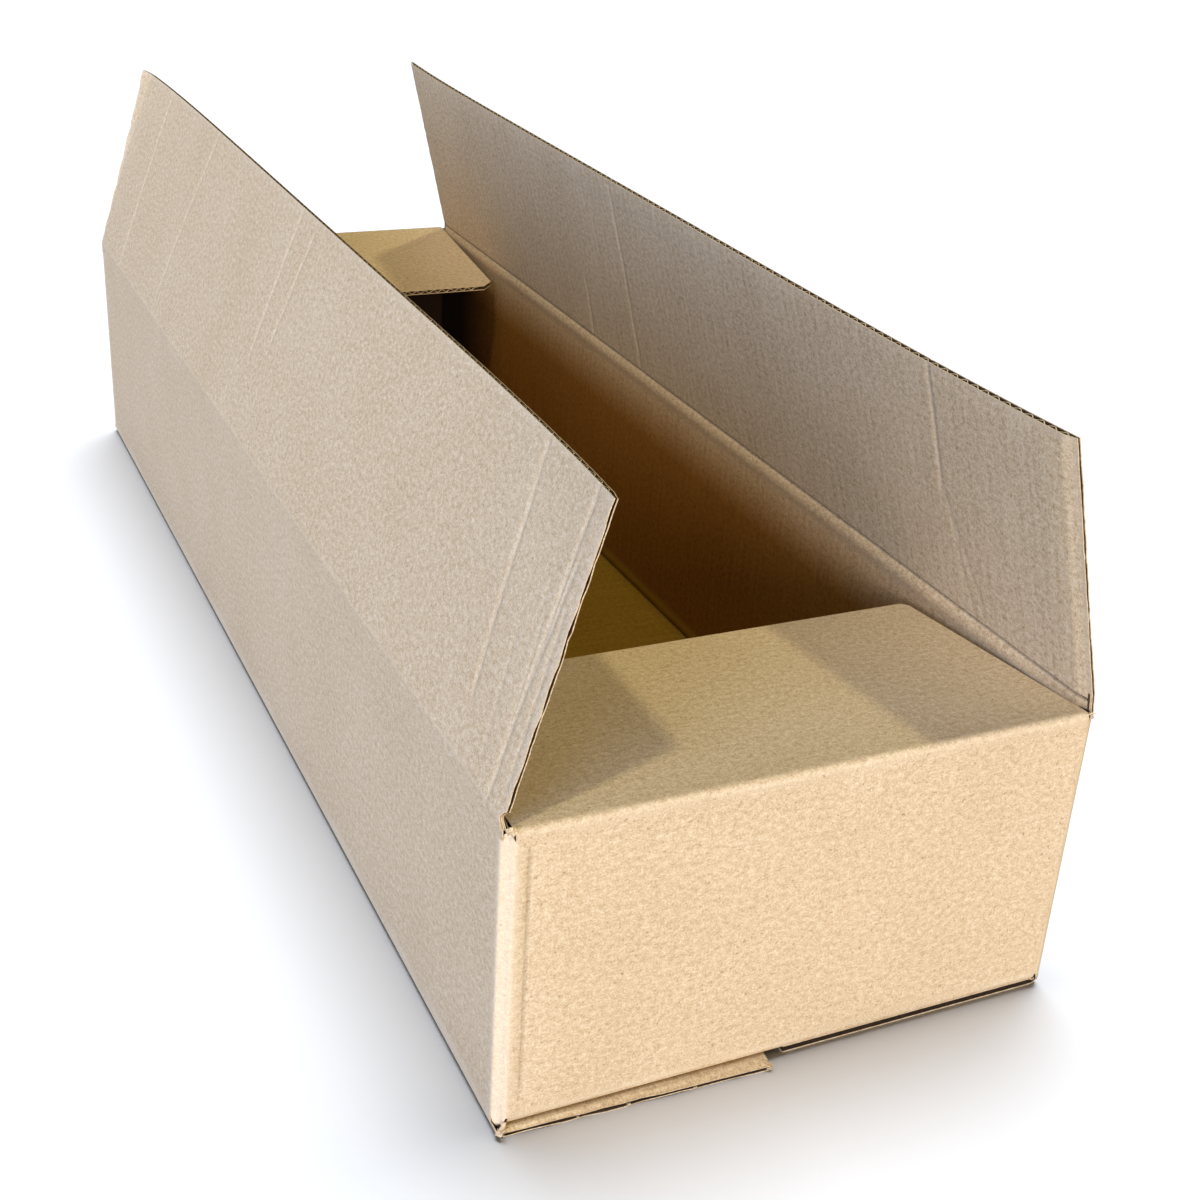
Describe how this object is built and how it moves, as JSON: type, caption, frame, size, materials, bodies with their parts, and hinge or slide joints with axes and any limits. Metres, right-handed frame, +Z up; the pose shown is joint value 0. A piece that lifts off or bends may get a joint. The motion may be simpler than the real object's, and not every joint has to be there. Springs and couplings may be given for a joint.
{
  "type": "open cardboard box",
  "caption": "Long, low corrugated shipping carton with folded bottom flaps, end flaps folded in and two long top flaps that stand open and fold.",
  "frame": {"origin": "on the floor, under the middle of the carton's footprint", "axes": "+Z up, +Y along the carton's long side from the near end to the far end, +X across it to the right"},
  "size_m": [0.24, 0.7304, 0.2426],
  "materials": {
    "carton_board": "matt kraft",
    "left_flap_board": "matt kraft",
    "right_flap_board": "matt kraft"
  },
  "bodies": {
    "carton": {"carton": "carton_board"},
    "left_flap": {"left_long_flap": "left_flap_board"},
    "right_flap": {"right_long_flap": "right_flap_board"}
  },
  "joints": [
    {"name": "left_flap_fold", "type": "hinge", "parent": "carton", "child": "left_flap", "pos_m": [-0.12, 0, 0.1325], "axis": [0, -1, 0], "range_deg": [-72, 188]},
    {"name": "right_flap_fold", "type": "hinge", "parent": "carton", "child": "right_flap", "pos_m": [0.12, 0, 0.1325], "axis": [0, 1, 0], "range_deg": [-74, 186]}
  ]
}
